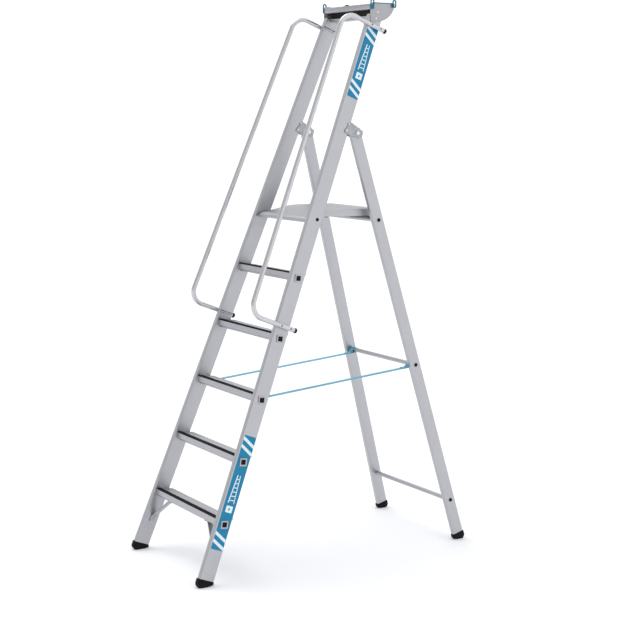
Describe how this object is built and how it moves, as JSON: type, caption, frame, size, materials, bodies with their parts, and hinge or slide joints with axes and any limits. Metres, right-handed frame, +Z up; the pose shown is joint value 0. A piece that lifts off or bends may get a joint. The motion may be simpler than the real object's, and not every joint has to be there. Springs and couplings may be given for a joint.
{
  "type": "platform step ladder",
  "caption": "Folding platform step ladder with ribbed treads, side handrails, a tool tray and limiting straps.",
  "frame": {"origin": "on the floor, under the middle of the part's box", "axes": "+Z up, +Y from the climbing side towards the rear legs, +X to the climber's right"},
  "size_m": [0.613, 1.2972, 2.29],
  "materials": {
    "aluminium": "satin",
    "tube": "satin",
    "galvanised": "satin",
    "bolt_steel": "satin",
    "rubber": "matte",
    "black_plastic": "matte",
    "blue_plastic": "satin",
    "webbing": "matte"
  },
  "bodies": {
    "front_frame": {"stile_left": "aluminium", "stile_right": "aluminium", "front_foot_left": "rubber", "front_foot_right": "rubber", "tread_1": "aluminium", "tread_2": "aluminium", "tread_3": "aluminium", "tread_4": "aluminium", "tread_5": "aluminium", "tread_grip_1": "rubber", "tread_grip_2": "rubber", "tread_grip_3": "rubber", "tread_grip_4": "rubber", "tread_grip_5": "rubber", "tread_plug_1_left": "black_plastic", "tread_plug_1_right": "black_plastic", "tread_plug_2_left": "black_plastic", "tread_plug_2_right": "black_plastic", "tread_plug_3_left": "black_plastic", "tread_plug_3_right": "black_plastic", "tread_plug_4_left": "black_plastic", "tread_plug_4_right": "black_plastic", "tread_plug_5_left": "black_plastic", "tread_plug_5_right": "black_plastic", "tread_brace_left": "aluminium", "tread_brace_right": "aluminium", "handrail_left": "tube", "handrail_right": "tube", "handrail_clamp_lower_left": "aluminium", "handrail_clamp_lower_right": "aluminium", "handrail_clamp_upper_left": "aluminium", "handrail_clamp_upper_right": "aluminium", "hinge_bracket_left": "galvanised", "hinge_bracket_right": "galvanised", "hinge_bolt_left": "bolt_steel", "hinge_bolt_right": "bolt_steel", "platform_pivot_rod": "aluminium", "tool_tray": "aluminium", "tray_liner": "black_plastic", "top_cross_rail": "aluminium", "tray_end_plate_left": "aluminium", "tray_end_plate_right": "aluminium", "tray_cap_front_left": "blue_plastic", "tray_cap_front_right": "blue_plastic", "tray_cap_rear_left": "blue_plastic", "tray_cap_rear_right": "blue_plastic"},
    "rear_frame": {"rear_leg_left": "aluminium", "rear_leg_right": "aluminium", "rear_foot_left": "rubber", "rear_foot_right": "rubber", "platform_crossbar": "aluminium", "strap_crossbar": "aluminium", "bottom_crossbar": "aluminium"},
    "platform": {"platform_deck": "aluminium"},
    "strap_front": {"strap_front_left": "webbing", "strap_front_right": "webbing"},
    "strap_rear": {"strap_rear_left": "webbing", "strap_rear_right": "webbing"}
  },
  "joints": [
    {"name": "rear_fold", "type": "hinge", "parent": "front_frame", "child": "rear_frame", "pos_m": [0, 0.14791, 1.74631], "axis": [-1, 0, 0], "range_deg": [0, 36.5]},
    {"name": "platform_fold", "type": "hinge", "parent": "front_frame", "child": "platform", "pos_m": [0, -0.05665, 1.40261], "axis": [1, 0, 0], "range_deg": [0, 68]},
    {"name": "strap_anchor", "type": "hinge", "parent": "front_frame", "child": "strap_front", "pos_m": [0, -0.31653, 0.70234], "axis": [-1, 0, 0], "range_deg": [0, 107.9]},
    {"name": "strap_knee", "type": "hinge", "parent": "strap_front", "child": "strap_rear", "pos_m": [0, -0.01157, 0.72759], "axis": [1, 0, 0], "range_deg": [0, 170.9]}
  ],
  "couplings": [
    {"joint": "platform_fold", "follows": "rear_fold", "ratio": 1.86},
    {"joint": "strap_anchor", "follows": "rear_fold", "ratio": 2.9527},
    {"joint": "strap_knee", "follows": "rear_fold", "ratio": 4.679}
  ]
}
